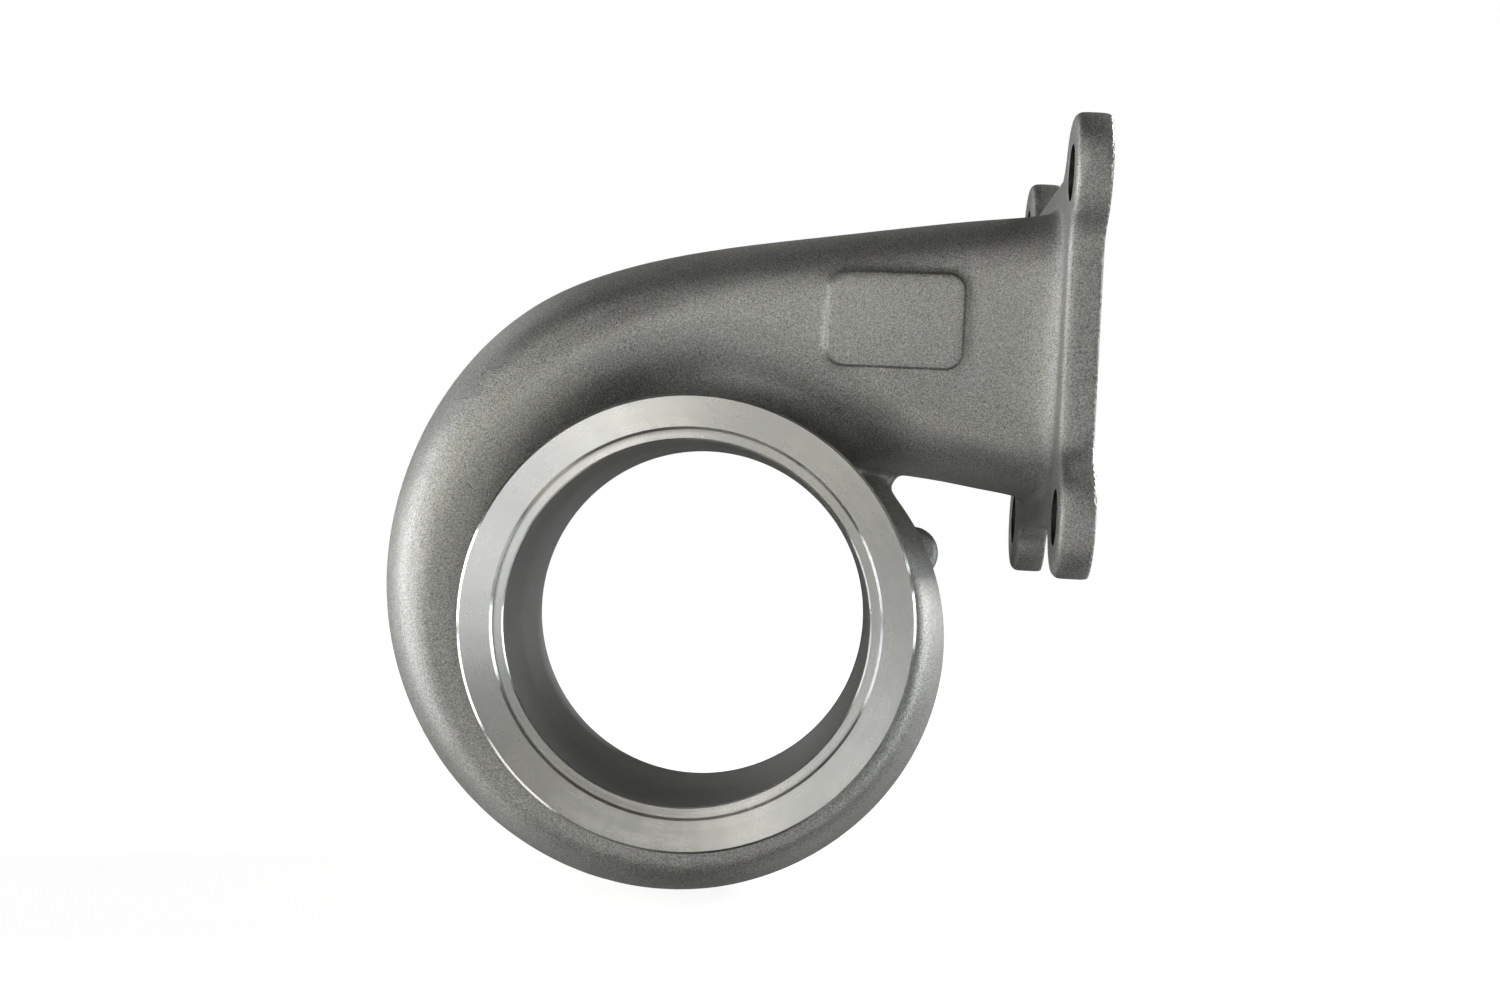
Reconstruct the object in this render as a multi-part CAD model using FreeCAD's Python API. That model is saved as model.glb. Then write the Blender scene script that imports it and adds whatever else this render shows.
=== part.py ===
import FreeCAD, Part
import math
import os

from FreeCAD import Vector

# Frame: +Y runs along the turbine axis from the exhaust outlet towards the centre housing,
# +X towards the inlet flange and +Z up. The origin is on that axis, at the outlet's face.
# Lengths are in millimetres, angles in degrees about the axis, counted from +X towards +Z.
AXIS = Vector(0, 1, 0)
ORIGIN = Vector(0, 0, 0)
FULL_TURN = 360.0

# Outlet: a clamp rim on a short neck, with a shallow locating recess in its face
BORE_R = 35.9
BORE_LIP_RISE = 0.2
BORE_TAPER_END = 30.0
PILOT_STEP = 2.0
PILOT_DEPTH = 1.6
RIM_FACE_WIDTH = 7.0
RIM_EDGE = 3.4
RIM_BACK_SLOPE = 20.0
RIM_CHAMFER = 0.5
GROOVE_DEPTH = 4.8
GROOVE_END = 8.6
GROOVE_FILLET = 0.8
NECK_WALL = 5.6
EDGE_BREAK = 0.4

# Turbine wheel chamber, from the end of the plain bore to the centre housing's face
BORE_LENGTH = 64.0
CONTOUR_RISE = 5.1
CONTOUR_LENGTH = 7.0
THROAT_WIDTH = 8.0
THROAT_REACH = 4.0
LAND_WIDTH = 5.0
SEAT_STEP = 2.5
SEAT_DEPTH = 8.0

# Centre housing flange: a disc on a conical root, with bosses for tapped holes
SEAT_TO_TAP_WALL = 2.1
DISC_OVER_TAPS = 2.0
BACK_DISC_THICK = 8.0
DISC_ROOT_LENGTH = 13.0
DISC_ROOT_RISE = 5.0
BOLT_COUNT = 6
BOLT_FIRST_ANGLE = 18.5
BOSS_R = 6.1
BOSS_LENGTH = 19.0
BOSS_FILLET = 1.5
TAP_DRILL_R = 3.4
TAP_DEPTH = 14.0
TAP_CHAMFER = 0.5
DRILL_POINT_ANGLE = 118.0

# Inlet flange: four bolts on a rectangle round a rounded port
INLET_FACE_X = 77.0
INLET_Y = 42.0
INLET_Z = 57.8
FLANGE_THICK = 7.0
BOLT_SPACING_Y = 92.1
BOLT_SPACING_Z = 66.7
BOLT_HOLE_R = 5.5
LUG_R = 11.8
LUG_STAND_OUT = 9.05
LAND_OVER_PORT = 10.9
WAIST_FILLET = 8.0
FLANGE_EDGE_FILLET = 1.6
FLANGE_FACE_CHAMFER = 0.4
PORT_HALF_Y = 36.5
PORT_HALF_Z = 24.2

# Casting: wall, scroll growth and runner taper
WALL = 4.6
SHROUD_WALL = 6.6
PASSAGE_HEIGHT_BELOW = 12.2
SCROLL_PITCH = 21.0
SCROLL_HEAD_ANGLE = 123.0
SCROLL_TAIL_ANGLE = 393.0
SCROLL_SECTION_COUNT = 11
SWELL = 5.9
SWELL_ANGLE = 240.0
DIP = 2.0
DIP_ANGLE = 330.0
TONGUE_SWEEP = 15.0
WEB_R = 2.6
WEB_ANGLE = 39.8
WEB_INSET = 9.0
SCROLL_FRONT_AT_TOP = 10.0
SCROLL_FRONT_AT_TAIL = 42.0
SCROLL_FRONT_EASE = 1.4
RUNNER_TOP_RISE = 18.2
RUNNER_TOP_EASE = 1.25
RUNNER_STEP_COUNT = 3
FLARE_LENGTH = 8.0
FLARE_OUT_Y = 3.4
FLARE_OUT_Z = 0.55
FLARE_ARC = 70.0
FLARE_STEP_COUNT = 3
SQUARE_PORT = 0.74
SQUARE_RUNNER = 0.6
SQUARE_SCROLL = 0.46
ROUNDING_SHARE = 0.5

# Plain cast pad on the runner's front
PAD_X = 38.0
PAD_Z = 62.0
PAD_LENGTH = 27.0
PAD_HEIGHT = 19.0
PAD_CORNER_R = 3.5
PAD_RISE = 0.8

# Sizes that follow from the ones above
BORE_LIP_R = BORE_R + BORE_LIP_RISE
PILOT_R = BORE_LIP_R + PILOT_STEP
RIM_R = PILOT_R + RIM_FACE_WIDTH
GROOVE_R = RIM_R - GROOVE_DEPTH
NECK_R = BORE_R + NECK_WALL
CHAMBER_R = BORE_R + CONTOUR_RISE
SEAT_R = CHAMBER_R + SEAT_STEP
BOLT_CIRCLE_R = SEAT_R + SEAT_TO_TAP_WALL + TAP_DRILL_R
BACK_DISC_R = BOLT_CIRCLE_R + DISC_OVER_TAPS
PASSAGE_LOW_R = BORE_R + SHROUD_WALL
SCROLL_R_BELOW = PASSAGE_LOW_R + PASSAGE_HEIGHT_BELOW + WALL
RUNNER_TOP_AT_AXIS = SCROLL_R_BELOW + RUNNER_TOP_RISE
THROAT_FRONT = BORE_LENGTH + CONTOUR_LENGTH
THROAT_BACK = THROAT_FRONT + THROAT_WIDTH
BACK_FACE = THROAT_BACK + LAND_WIDTH + SEAT_DEPTH
SKIN_BACK = THROAT_BACK + WALL
FLANGE_BACK_X = INLET_FACE_X - FLANGE_THICK
LUG_Y = BOLT_SPACING_Y / 2
LUG_Z = BOLT_SPACING_Z / 2
FLANGE_HALF_Y = LUG_Y + LUG_R - LUG_STAND_OUT
FLANGE_HALF_Z = PORT_HALF_Z + LAND_OVER_PORT


def polar(radius, angle, depth):
    """Point at a radius and an angle about the turbine axis, at a depth along it."""
    turn = math.radians(angle)
    return Vector(radius * math.cos(turn), depth, radius * math.sin(turn))


def turned(profile):
    """Solid of revolution about the turbine axis, from (radius, depth) corners.

    A corner with a third value, a (radius, depth) pair, is reached by an arc through that pair.
    """
    edges = []
    for start, end in zip(profile, profile[1:] + profile[:1]):
        first = Vector(start[0], start[1], 0)
        last = Vector(end[0], end[1], 0)
        if len(end) > 2:
            edges.append(Part.Arc(first, Vector(*end[2], 0), last).toShape())
        else:
            edges.append(Part.LineSegment(first, last).toShape())
    return Part.Face(Part.Wire(edges)).revolve(ORIGIN, AXIS, FULL_TURN)


def mix(start, end, share):
    """Value a share of the way from start to end."""
    return start + (end - start) * share


class Section:
    """Rounded closed section of the gas passage, in depth along the axis and in height."""

    def __init__(self, front, back, low, high, squareness):
        self.front = front
        self.back = back
        self.low = low
        self.high = high
        self.squareness = squareness

    def inset(self, wall, low, squareness):
        """Section of the passage inside this one, under a wall and above a given height."""
        return Section(self.front + wall, self.back - wall, low, self.high - wall, squareness)

    def grown(self, depth, height):
        """Section that is wider by depth and taller by height on each side."""
        return Section(self.front - depth, self.back + depth, self.low - height,
                       self.high + height, self.squareness)

    def wire(self, place):
        """Smooth closed wire, touching the section's four limits; place gives 3-D points."""
        mid_depth = (self.front + self.back) / 2
        mid_height = (self.low + self.high) / 2
        half_depth = (self.back - self.front) / 2
        half_height = (self.high - self.low) / 2
        flat = self.squareness
        quarter = [(1, 0), (1, flat), (flat, 1)]
        ring = []
        for _ in range(4):
            ring += quarter
            quarter = [(-y, x) for x, y in quarter]
        curve = Part.BSplineCurve()
        poles = [place(mid_depth + half_depth * x, mid_height + half_height * y) for x, y in ring]
        curve.buildFromPoles(poles, True, 3)
        return Part.Wire([curve.toShape()])


def ease(start, end, angle):
    """Rise from 0 at the start angle to 1 at the end angle, with no kink at the start."""
    return max(0, (angle - start) / (end - start)) ** 2


def scroll_radius(angle):
    """Outer radius of the scroll: an even spiral, swelling to the runner, dipping to its tail."""
    spiral = SCROLL_R_BELOW + SCROLL_PITCH * (270 - angle) / FULL_TURN
    swell = SWELL * ease(SWELL_ANGLE, SCROLL_HEAD_ANGLE, angle)
    dip = DIP * ease(DIP_ANGLE, SCROLL_TAIL_ANGLE, angle)
    return spiral + swell - dip


def scroll_section(angle):
    """Outer section of the scroll at an angle."""
    share = (angle - 90) / (SCROLL_TAIL_ANGLE - 90)
    front = mix(SCROLL_FRONT_AT_TOP, SCROLL_FRONT_AT_TAIL, share ** SCROLL_FRONT_EASE)
    squareness = mix(SQUARE_RUNNER, SQUARE_SCROLL, min(1, share / ROUNDING_SHARE))
    return Section(front, SKIN_BACK, PASSAGE_LOW_R - WALL, scroll_radius(angle), squareness)


def runner_section(x):
    """Outer section of the runner at a distance from the turbine axis."""
    share = x / FLANGE_BACK_X
    front = mix(SCROLL_FRONT_AT_TOP, INLET_Y - PORT_HALF_Y - WALL, share)
    back = mix(SKIN_BACK, INLET_Y + PORT_HALF_Y + WALL, share)
    low = mix(PASSAGE_LOW_R - WALL, INLET_Z - PORT_HALF_Z - WALL, share)
    top = INLET_Z + PORT_HALF_Z + WALL
    high = top - (top - RUNNER_TOP_AT_AXIS) * (1 - share) ** RUNNER_TOP_EASE
    return Section(front, back, low, high, mix(SQUARE_RUNNER, SQUARE_PORT, share))


def on_angle(angle):
    """Placing function for a scroll section at an angle."""
    return lambda depth, height: polar(height, angle, depth)


def on_plane(x):
    """Placing function for a runner section at a distance from the turbine axis."""
    return lambda depth, height: Vector(x, depth, height)


def scroll_angles():
    """Angles of the scroll's sections, from its tail to where the runner starts."""
    last = SCROLL_SECTION_COUNT - 1
    return [mix(SCROLL_TAIL_ANGLE, SCROLL_HEAD_ANGLE, index / last) for index in range(last + 1)]


def runner_stations():
    """Distances of the runner's sections from the turbine axis, up to its flare."""
    straight = FLANGE_BACK_X - FLARE_LENGTH
    return [straight * index / RUNNER_STEP_COUNT for index in range(RUNNER_STEP_COUNT + 1)]


def flare():
    """Sections of the flare at the runner's end, widening along an arc up to the flange."""
    made = []
    arc = math.radians(FLARE_ARC)
    for index in range(1, FLARE_STEP_COUNT + 1):
        turn = arc * index / FLARE_STEP_COUNT
        x = FLANGE_BACK_X - FLARE_LENGTH * (1 - math.sin(turn) / math.sin(arc))
        rise = (1 - math.cos(turn)) / (1 - math.cos(arc))
        made.append((x, runner_section(x).grown(FLARE_OUT_Y * rise, FLARE_OUT_Z * rise)))
    return made


def skin(rise):
    """Outside of scroll and runner with its flare, raised all over by a height."""
    wires = []
    for angle in scroll_angles():
        wires.append(scroll_section(angle).grown(rise, rise).wire(on_angle(angle)))
    for x in runner_stations():
        wires.append(runner_section(x).grown(rise, rise).wire(on_plane(x)))
    for x, section in flare():
        wires.append(section.grown(rise, rise).wire(on_plane(x)))
    return Part.makeLoft(wires, True, False)


def pad():
    """Raised pad that follows the runner's front, with rounded corners."""
    block = Part.makeBox(PAD_LENGTH, INLET_Y, PAD_HEIGHT,
                         Vector(PAD_X - PAD_LENGTH / 2, -WALL, PAD_Z - PAD_HEIGHT / 2))
    corners = [edge for edge in block.Edges if edge.BoundBox.YLength > PAD_HEIGHT]
    outline = block.makeFillet(PAD_CORNER_R, corners)
    return skin(PAD_RISE).common(outline)


def passage():
    """Inside of scroll and runner, open through the inlet flange."""
    wires = []
    for angle in scroll_angles():
        outer = scroll_section(angle)
        inner = outer.inset(WALL, PASSAGE_LOW_R, outer.squareness)
        wires.append(inner.wire(on_angle(angle)))
    for x in runner_stations() + [FLANGE_BACK_X]:
        outer = runner_section(x)
        low = mix(PASSAGE_LOW_R, INLET_Z - PORT_HALF_Z, x / FLANGE_BACK_X)
        wires.append(outer.inset(WALL, low, outer.squareness).wire(on_plane(x)))
    port = wires[-1]
    scroll = Part.makeLoft(wires, True, False)
    through = Part.Face(port).extrude(Vector(2 * FLANGE_THICK, 0, 0))
    return scroll.fuse(through)


def tongue():
    """The scroll's tail section carried round until it runs into the runner's underside."""
    tail = Part.Face(scroll_section(SCROLL_TAIL_ANGLE).wire(on_angle(SCROLL_TAIL_ANGLE)))
    return tail.revolve(ORIGIN, AXIS, -TONGUE_SWEEP)


def web():
    """Rounded web that closes the notch between the scroll's tail and the runner's underside."""
    front = SCROLL_FRONT_AT_TAIL + WEB_INSET
    centre = polar(scroll_radius(SCROLL_TAIL_ANGLE), WEB_ANGLE, front)
    return Part.makeCylinder(WEB_R, SKIN_BACK - WEB_INSET - front, centre, AXIS)


def outlet():
    """Clamp rim with its sloping back, the clamp's groove and the neck behind it."""
    slope = (RIM_R - GROOVE_R) * math.tan(math.radians(RIM_BACK_SLOPE))
    fillet_via = GROOVE_FILLET * (1 - math.sqrt(0.5))
    return turned([
        (0, 0),
        (RIM_R - RIM_CHAMFER, 0),
        (RIM_R, RIM_CHAMFER),
        (RIM_R, RIM_EDGE),
        (GROOVE_R, RIM_EDGE + slope),
        (GROOVE_R, GROOVE_END - GROOVE_FILLET),
        (GROOVE_R + GROOVE_FILLET, GROOVE_END, (GROOVE_R + fillet_via, GROOVE_END - fillet_via)),
        (NECK_R, GROOVE_END),
        (NECK_R, THROAT_BACK),
        (0, THROAT_BACK),
    ])


def back_disc():
    """Disc that carries the centre housing, on a root that widens out of the scroll's back."""
    front = BACK_FACE - BACK_DISC_THICK
    root = front - DISC_ROOT_LENGTH
    return turned([
        (0, root),
        (BACK_DISC_R - DISC_ROOT_RISE, root),
        (BACK_DISC_R, front),
        (BACK_DISC_R, BACK_FACE - EDGE_BREAK),
        (BACK_DISC_R - EDGE_BREAK, BACK_FACE),
        (0, BACK_FACE),
    ])


def bolt_angles():
    """Angles of the centre housing's bolts."""
    return [BOLT_FIRST_ANGLE + FULL_TURN * index / BOLT_COUNT for index in range(BOLT_COUNT)]


def bosses():
    """Bosses of the tapped holes, with rounded noses towards the outlet."""
    made = []
    for angle in bolt_angles():
        base = polar(BOLT_CIRCLE_R, angle, BACK_FACE - BOSS_LENGTH)
        boss = Part.makeCylinder(BOSS_R, BOSS_LENGTH, base, AXIS)
        nose = [edge for edge in boss.Edges if edge.CenterOfMass.sub(base).Length < BOSS_FILLET]
        made.append(boss.makeFillet(BOSS_FILLET, nose))
    return made


def tapped_holes():
    """Drilled holes of the centre housing's bolts, with drill points and chamfered mouths."""
    holes = []
    point = TAP_DRILL_R / math.tan(math.radians(DRILL_POINT_ANGLE / 2))
    for angle in bolt_angles():
        mouth = polar(BOLT_CIRCLE_R, angle, BACK_FACE)
        drill = Part.makeCylinder(TAP_DRILL_R, TAP_DEPTH, mouth, -AXIS)
        end = mouth - AXIS * TAP_DEPTH
        tip = Part.makeCone(TAP_DRILL_R, 0, point, end, -AXIS)
        lead = Part.makeCone(TAP_DRILL_R + TAP_CHAMFER, TAP_DRILL_R, TAP_CHAMFER, mouth, -AXIS)
        holes.append(drill.fuse([tip, lead]))
    return holes


def lug_outline(side_y, side_z):
    """Edges round one lug: a fillet from the end, the lug's arc and a fillet to the side."""
    reach = LUG_R + WAIST_FILLET
    end_y = FLANGE_HALF_Y + WAIST_FILLET
    end_z = LUG_Z - math.sqrt(reach ** 2 - (end_y - LUG_Y) ** 2)
    top_z = FLANGE_HALF_Z + WAIST_FILLET
    top_y = LUG_Y - math.sqrt(reach ** 2 - (top_z - LUG_Z) ** 2)

    def spot(y, z):
        return Vector(FLANGE_BACK_X, INLET_Y + side_y * y, INLET_Z + side_z * z)

    def toward(start, end, distance):
        away = math.dist(start, end)
        share = distance / away
        return (mix(start[0], end[0], share), mix(start[1], end[1], share))

    def arc(start, middle, end):
        return Part.Arc(spot(*start), spot(*middle), spot(*end)).toShape()

    lug = (LUG_Y, LUG_Z)
    end_centre = (end_y, end_z)
    top_centre = (top_y, top_z)
    end_line = (FLANGE_HALF_Y, end_z)
    end_lug = toward(lug, end_centre, LUG_R)
    end_chord = ((end_line[0] + end_lug[0]) / 2, (end_line[1] + end_lug[1]) / 2)
    top_line = (top_y, FLANGE_HALF_Z)
    top_lug = toward(lug, top_centre, LUG_R)
    top_chord = ((top_line[0] + top_lug[0]) / 2, (top_line[1] + top_lug[1]) / 2)
    corner = (LUG_Y + LUG_R * math.sqrt(0.5), LUG_Z + LUG_R * math.sqrt(0.5))
    edges = [
        arc(end_line, toward(end_centre, end_chord, WAIST_FILLET), end_lug),
        arc(end_lug, corner, top_lug),
        arc(top_lug, toward(top_centre, top_chord, WAIST_FILLET), top_line),
    ]
    return edges, spot(*end_line), spot(*top_line)


def inlet_flange():
    """Flange plate with a lug round each bolt and rounded cast edges at its back."""
    corners = [lug_outline(*side) for side in ((1, 1), (-1, 1), (-1, -1), (1, -1))]
    edges = [edge for corner in corners for edge in corner[0]]
    for first, second in ((0, 1), (2, 3)):
        edges.append(Part.LineSegment(corners[first][2], corners[second][2]).toShape())
    for first, second in ((1, 2), (3, 0)):
        edges.append(Part.LineSegment(corners[first][1], corners[second][1]).toShape())
    outline = Part.Wire(Part.__sortEdges__(edges))
    plate = Part.Face(outline).extrude(Vector(FLANGE_THICK, 0, 0))
    middle = (FLANGE_BACK_X + INLET_FACE_X) / 2
    cast_rim = [edge for edge in plate.Edges if edge.BoundBox.XMax < middle]
    plate = plate.makeFillet(FLANGE_EDGE_FILLET, cast_rim)
    milled_rim = [edge for edge in plate.Edges if edge.BoundBox.XMin > middle]
    return plate.makeChamfer(FLANGE_FACE_CHAMFER, milled_rim)


def inlet_holes():
    """Through holes of the inlet flange, chamfered at the milled face."""
    holes = []
    outward = Vector(1, 0, 0)
    for side_y in (-1, 1):
        for side_z in (-1, 1):
            y = INLET_Y + side_y * LUG_Y
            z = INLET_Z + side_z * LUG_Z
            drill = Part.makeCylinder(BOLT_HOLE_R, 2 * FLANGE_THICK,
                                      Vector(INLET_FACE_X - 2 * FLANGE_THICK, y, z), outward)
            lead = Part.makeCone(BOLT_HOLE_R, BOLT_HOLE_R + FLANGE_FACE_CHAMFER, FLANGE_FACE_CHAMFER,
                                 Vector(INLET_FACE_X - FLANGE_FACE_CHAMFER, y, z), outward)
            holes.append(drill.fuse(lead))
    return holes


def bore():
    """Everything turned out of the casting: recess, tapering bore, contour, throat and seat."""
    past = BACK_FACE + WALL
    contour_r = (CONTOUR_RISE ** 2 + CONTOUR_LENGTH ** 2) / (2 * CONTOUR_RISE)
    half_turn = math.asin(CONTOUR_LENGTH / contour_r) / 2
    contour_via = (BORE_R + contour_r * (1 - math.cos(half_turn)),
                   BORE_LENGTH + contour_r * math.sin(half_turn))
    throat_r = PASSAGE_LOW_R + THROAT_REACH
    return turned([
        (0, -WALL),
        (PILOT_R, -WALL),
        (PILOT_R, PILOT_DEPTH),
        (BORE_LIP_R + EDGE_BREAK, PILOT_DEPTH),
        (BORE_LIP_R, PILOT_DEPTH + EDGE_BREAK),
        (BORE_R, BORE_TAPER_END),
        (BORE_R, BORE_LENGTH),
        (CHAMBER_R, THROAT_FRONT, contour_via),
        (throat_r, THROAT_FRONT),
        (throat_r, THROAT_BACK),
        (CHAMBER_R, THROAT_BACK),
        (CHAMBER_R, BACK_FACE - SEAT_DEPTH),
        (SEAT_R, BACK_FACE - SEAT_DEPTH),
        (SEAT_R, BACK_FACE - EDGE_BREAK),
        (SEAT_R + EDGE_BREAK, BACK_FACE),
        (SEAT_R + EDGE_BREAK, past),
        (0, past),
    ])


def turbine_housing():
    """The whole casting, machined."""
    body = skin(0).fuse([tongue(), web(), pad(), outlet(), back_disc(), inlet_flange(), *bosses()])
    hollow = [passage(), bore(), *tapped_holes(), *inlet_holes()]
    return body.cut(hollow)


def write(name, shape):
    """Write one piece to its own file."""
    print(name, "valid", shape.isValid(), "solids", len(shape.Solids), "volume", round(shape.Volume))
    shape.exportStep(os.path.join("parts", name + ".step"))


os.makedirs("parts", exist_ok=True)
write("turbine_housing", turbine_housing())
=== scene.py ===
"""Looks of a turbocharger turbine housing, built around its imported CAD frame."""
import logging
import math
from dataclasses import dataclass
from enum import Enum, IntEnum
from typing import Any, Optional, Sequence

import bmesh
import bpy
from mathutils import Matrix, Vector


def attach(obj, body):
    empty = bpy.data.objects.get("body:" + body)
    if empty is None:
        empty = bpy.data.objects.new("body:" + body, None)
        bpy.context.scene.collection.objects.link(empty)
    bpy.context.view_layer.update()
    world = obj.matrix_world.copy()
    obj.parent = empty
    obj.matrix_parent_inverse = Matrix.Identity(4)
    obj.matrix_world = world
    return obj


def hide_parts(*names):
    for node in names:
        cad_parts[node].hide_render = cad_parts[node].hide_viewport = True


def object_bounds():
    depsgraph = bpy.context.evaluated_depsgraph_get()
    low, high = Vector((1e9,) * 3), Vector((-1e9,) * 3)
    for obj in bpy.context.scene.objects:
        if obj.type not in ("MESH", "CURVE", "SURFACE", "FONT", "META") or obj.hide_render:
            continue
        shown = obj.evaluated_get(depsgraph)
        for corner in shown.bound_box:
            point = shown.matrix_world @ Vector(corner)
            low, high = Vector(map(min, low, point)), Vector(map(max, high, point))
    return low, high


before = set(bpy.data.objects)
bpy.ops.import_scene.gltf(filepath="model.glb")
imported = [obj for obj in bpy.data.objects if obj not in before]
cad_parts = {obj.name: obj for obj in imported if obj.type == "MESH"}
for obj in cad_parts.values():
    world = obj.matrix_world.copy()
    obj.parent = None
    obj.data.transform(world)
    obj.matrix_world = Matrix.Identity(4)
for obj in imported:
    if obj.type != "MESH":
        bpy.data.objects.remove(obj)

CAD_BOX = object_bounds()
NODE = "turbine_housing"
MM = 0.001

Colour = tuple[float, float, float, float]
Span = tuple[float, float]
Profile = Sequence[tuple[float, float]]

log = logging.getLogger("turbine_housing")


class Stage(Enum):
    """What lies round the object: the names of the stage's pieces."""

    FLOOR = "stage_floor"
    DOME = "stage_dome"


class Finish(IntEnum):
    """Finishes of the housing, in the order of the casting's material slots."""

    CAST = 0
    TURNED = 1
    BORE = 2
    MILLED = 3
    DRILLED = 4


class Signal:
    """A shader socket that Python's operators work on by adding Math nodes."""

    def __init__(self, shader: "Shader", socket: bpy.types.NodeSocket) -> None:
        """Wraps one output socket.

        Args:
            shader: the material's node tree.
            socket: the output that carries the value.
        """
        self.shader = shader
        self.socket = socket

    def _math(self, operation: str, first: Any, second: Any = None) -> "Signal":
        """Adds one Math node.

        Args:
            operation: the node's operation.
            first: its first value.
            second: its second value, if it takes one.

        Returns:
            The node's result.
        """
        values = {0: first}
        if second is not None:
            values[1] = second
        node = self.shader.node("ShaderNodeMath", {"operation": operation}, values)
        return Signal(self.shader, node.outputs[0])

    def __add__(self, other: Any) -> "Signal":
        """Sum."""
        return self._math("ADD", self, other)

    def __radd__(self, other: Any) -> "Signal":
        """Sum, the number first."""
        return self._math("ADD", other, self)

    def __sub__(self, other: Any) -> "Signal":
        """Difference."""
        return self._math("SUBTRACT", self, other)

    def __rsub__(self, other: Any) -> "Signal":
        """Difference, the number first."""
        return self._math("SUBTRACT", other, self)

    def __mul__(self, other: Any) -> "Signal":
        """Product."""
        return self._math("MULTIPLY", self, other)

    def __rmul__(self, other: Any) -> "Signal":
        """Product, the number first."""
        return self._math("MULTIPLY", other, self)

    def __truediv__(self, other: Any) -> "Signal":
        """Quotient."""
        return self._math("DIVIDE", self, other)

    def __pow__(self, other: Any) -> "Signal":
        """Power."""
        return self._math("POWER", self, other)

    def __rpow__(self, other: Any) -> "Signal":
        """Power of a number."""
        return self._math("POWER", other, self)

    def __neg__(self) -> "Signal":
        """Negative."""
        return self._math("MULTIPLY", self, -1.0)

    def __abs__(self) -> "Signal":
        """Distance from zero."""
        return self._math("ABSOLUTE", self)

    def bearing(self, across: Any) -> "Signal":
        """Angle whose tangent is this over another value, in radians."""
        return self._math("ARCTAN2", self, across)

    def fraction(self) -> "Signal":
        """What is left over a whole number."""
        return self._math("FRACT", self)

    def least(self, other: Any) -> "Signal":
        """The lesser of this and another value."""
        return self._math("MINIMUM", self, other)

    def most(self, other: Any) -> "Signal":
        """The greater of this and another value."""
        return self._math("MAXIMUM", self, other)

    def swing(self, amount: float) -> "Signal":
        """How far a value between 0 and 1 is from its middle, times an amount."""
        return (self - 0.5) * amount

    def step(self, low: float, high: float) -> "Signal":
        """Smooth rise from 0 at low to 1 at high.

        Args:
            low: where the rise starts.
            high: where it ends.

        Returns:
            The smoothed share.
        """
        node = self.shader.node("ShaderNodeMapRange", {"interpolation_type": "SMOOTHSTEP"},
                                {"Value": self, "From Min": low, "From Max": high})
        return Signal(self.shader, node.outputs["Result"])


class Shader:
    """One material's node tree, with a single method that adds any node."""

    def __init__(self, name: str) -> None:
        """Makes an empty node material with a Principled shader.

        Args:
            name: the material's name.
        """
        self.material = bpy.data.materials.new(name)
        self.material.use_nodes = True
        self.tree = self.material.node_tree
        self.surface = self.tree.nodes["Principled BSDF"]

    def node(self, kind: str, settings: dict[str, Any], values: dict[Any, Any]) -> bpy.types.Node:
        """Adds a node.

        Args:
            kind: the node's type.
            settings: its properties, set first.
            values: its sockets' values, or signals to link.

        Returns:
            The new node.
        """
        made = self.tree.nodes.new(kind)
        for key, value in settings.items():
            setattr(made, key, value)
        for key, value in values.items():
            self.feed(made.inputs[key], value)
        return made

    def feed(self, socket: bpy.types.NodeSocket, value: Any) -> None:
        """Links a signal to a socket, or sets the socket's own value.

        Args:
            socket: the input.
            value: a signal or a plain value.
        """
        if isinstance(value, Signal):
            self.tree.links.new(value.socket, socket)
        else:
            socket.default_value = value

    def place(self) -> Signal:
        """Position on the object, in its own frame and in metres."""
        node = self.node("ShaderNodeTexCoord", {}, {})
        return Signal(self, node.outputs["Object"])

    def axes(self, vector: Signal) -> tuple[Signal, Signal, Signal]:
        """Splits a vector.

        Args:
            vector: the vector signal.

        Returns:
            Its x, y and z.
        """
        node = self.node("ShaderNodeSeparateXYZ", {}, {0: vector})
        return tuple(Signal(self, node.outputs[i]) for i in range(3))

    def vector(self, x: Any, y: Any, z: Any) -> Signal:
        """Joins three values into a vector.

        Args:
            x: first part.
            y: second part.
            z: third part.

        Returns:
            The vector.
        """
        node = self.node("ShaderNodeCombineXYZ", {}, {0: x, 1: y, 2: z})
        return Signal(self, node.outputs[0])

    def noise(self, vector: Signal, scale: float, detail: float = 2.0, rough: float = 0.5) -> Signal:
        """Noise between 0 and 1.

        Args:
            vector: where it is read.
            scale: features to the metre.
            detail: octaves.
            rough: weight of the finer octaves.

        Returns:
            The noise value.
        """
        node = self.node("ShaderNodeTexNoise", {"noise_dimensions": "3D"},
                         {"Vector": vector, "Scale": scale, "Detail": detail, "Roughness": rough})
        return Signal(self, node.outputs[0])

    def blend(self, share: Any, first: Any, second: Any) -> Signal:
        """Mixes two colours.

        Args:
            share: 0 gives the first, 1 the second.
            first: a colour or a signal.
            second: a colour or a signal.

        Returns:
            The mixed colour.
        """
        node = self.node("ShaderNodeMix", {"data_type": "RGBA"}, {0: share, 6: first, 7: second})
        return Signal(self, node.outputs[2])

    def bump(self, height: Signal, depth: float, under: Optional[Signal] = None) -> Signal:
        """Turns a height into a normal.

        Args:
            height: relief.
            depth: what 1 means, in metres.
            under: a normal that this one lies on.

        Returns:
            The bumped normal.
        """
        values = {"Height": height, "Distance": depth, "Strength": 1.0}
        if under is not None:
            values["Normal"] = under
        node = self.node("ShaderNodeBump", {}, values)
        return Signal(self, node.outputs[0])

    def dress(self, **sockets: Any) -> bpy.types.Material:
        """Feeds the Principled shader.

        Args:
            **sockets: socket names with underscores for spaces, and what feeds them.

        Returns:
            The material.
        """
        for name, value in sockets.items():
            self.feed(self.surface.inputs[name.replace("_", " ")], value)
        return self.material


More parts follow.
